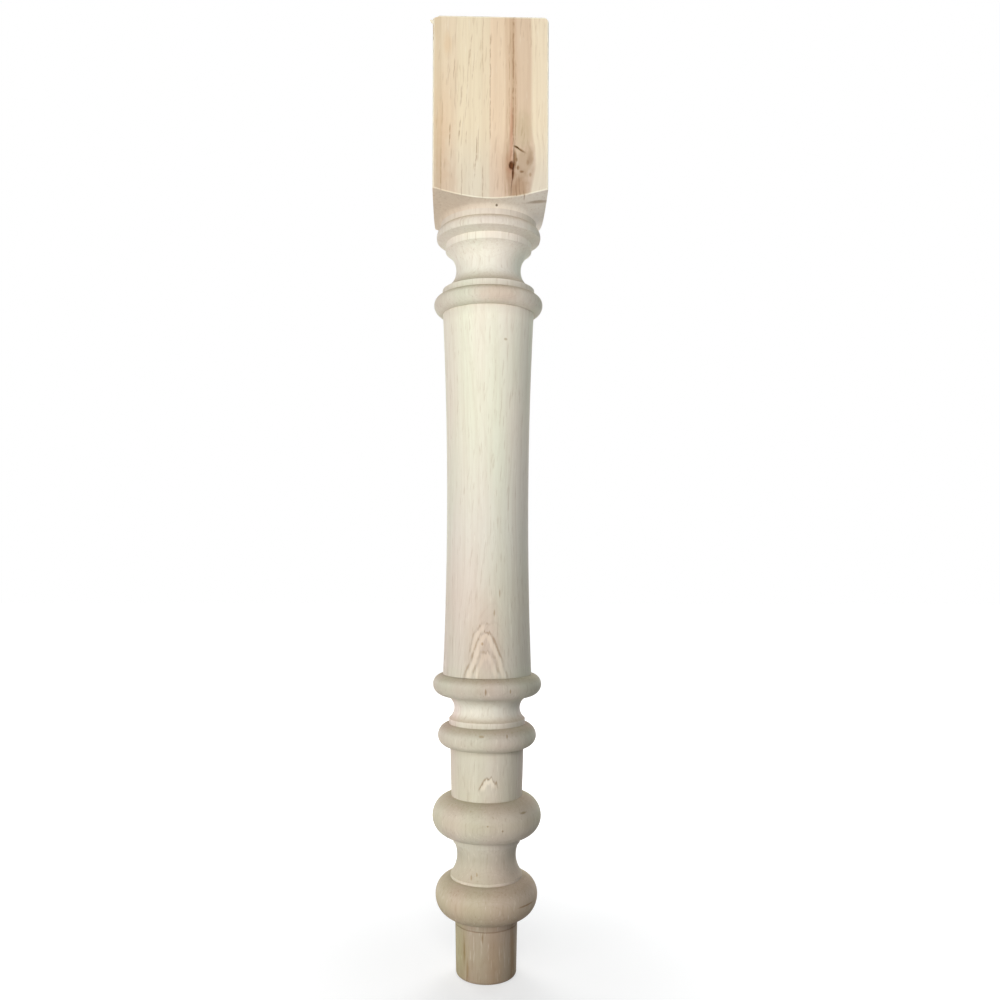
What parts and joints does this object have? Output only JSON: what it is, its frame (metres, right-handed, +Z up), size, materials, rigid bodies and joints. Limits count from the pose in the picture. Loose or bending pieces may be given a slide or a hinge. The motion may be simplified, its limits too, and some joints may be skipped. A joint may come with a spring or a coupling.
{
  "type": "table leg",
  "caption": "Turned table leg in raw wood: square block and shoulder above, collar, cove and bead, long hollowed column, rings, bulbs and a plain foot.",
  "frame": {"origin": "centre of the foot's flat underside, where the turning axis meets the floor", "axes": "+Z up along the turning axis to the sawn end of the block, -Y out of the face with the knot, which the picture shows, X across that face"},
  "size_m": [0.087, 0.087, 0.7366],
  "materials": {
    "raw_wood": "raw, sanded, without stain or varnish"
  },
  "bodies": {
    "root": {"turned_leg": "raw_wood"}
  },
  "joints": []
}
